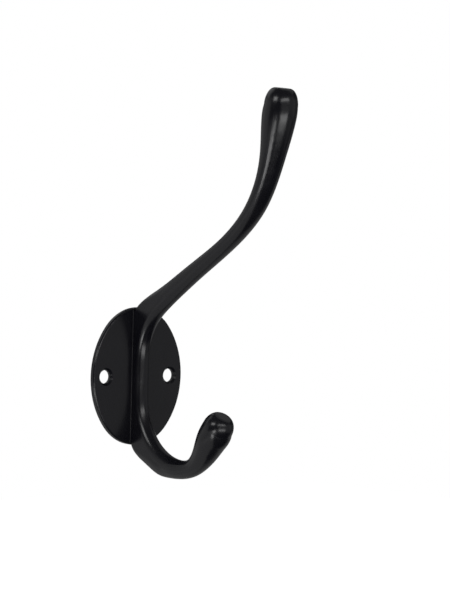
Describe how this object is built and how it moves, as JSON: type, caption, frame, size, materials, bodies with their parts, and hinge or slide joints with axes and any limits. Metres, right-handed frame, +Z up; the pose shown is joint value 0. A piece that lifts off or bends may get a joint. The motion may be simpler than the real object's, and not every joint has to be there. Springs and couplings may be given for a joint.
{
  "type": "coat hook",
  "caption": "Cast wall hook for coats and hats, with a long upper arm and a short lower hook on an oval screw plate.",
  "frame": {"origin": "centre of the oval plate's flat back, where it meets the wall", "axes": "+Z up the wall, +Y into the wall, -Y out into the room, X across the plate between the screw holes"},
  "size_m": [0.038, 0.0708, 0.1255],
  "materials": {
    "black_paint": "smooth semi-gloss black paint over a casting"
  },
  "bodies": {
    "root": {"coat_hook": "black_paint"}
  },
  "joints": []
}
